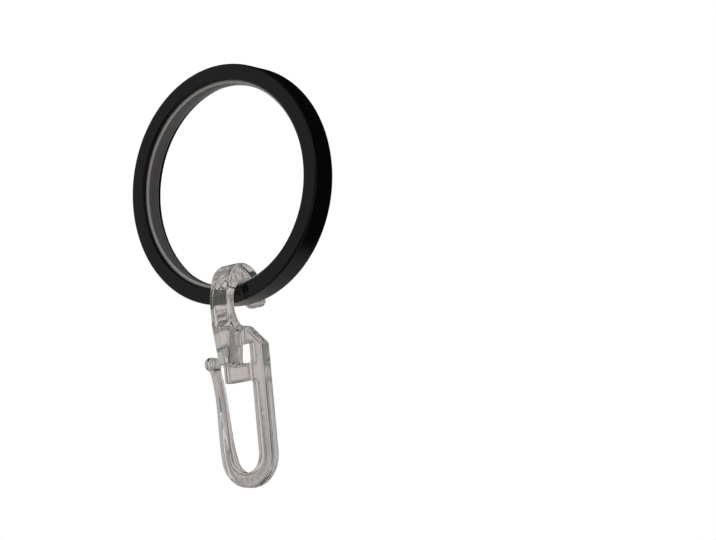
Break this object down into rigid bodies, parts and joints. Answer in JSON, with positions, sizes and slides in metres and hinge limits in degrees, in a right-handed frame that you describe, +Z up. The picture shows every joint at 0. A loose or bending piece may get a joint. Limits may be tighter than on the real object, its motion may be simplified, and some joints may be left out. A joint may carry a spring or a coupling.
{
  "type": "curtain ring",
  "caption": "Flat metal curtain ring with a plastic glide insert in its inner groove and a clear moulded hook that hangs by an open eye and ends in a springy tongue.",
  "frame": {"origin": "centre of the ring, in the middle of its width", "axes": "+Y along the rod, away from the side that the shank of the hook is on; +Z up, with the hook hanging along -Z; +X to the side of the plate that has the leg"},
  "size_m": [0.038, 0.0095, 0.0665],
  "materials": {
    "ring": "gloss black lacquer",
    "insert": "satin, smoky grey translucent",
    "hook": "gloss, clear with a faint grey tint"
  },
  "bodies": {
    "ring": {"ring": "ring"},
    "insert": {"insert": "insert"},
    "hook": {"hook": "hook"}
  },
  "joints": [
    {"name": "hook_travel", "type": "hinge", "parent": "ring", "child": "insert", "pos_m": [0, 0, 0], "axis": [0, 1, 0], "continuous": true},
    {"name": "hook_swing", "type": "hinge", "parent": "insert", "child": "hook", "pos_m": [0, 0, -0.01893], "axis": [1, 0, 0], "range_deg": [-120, 120]}
  ]
}
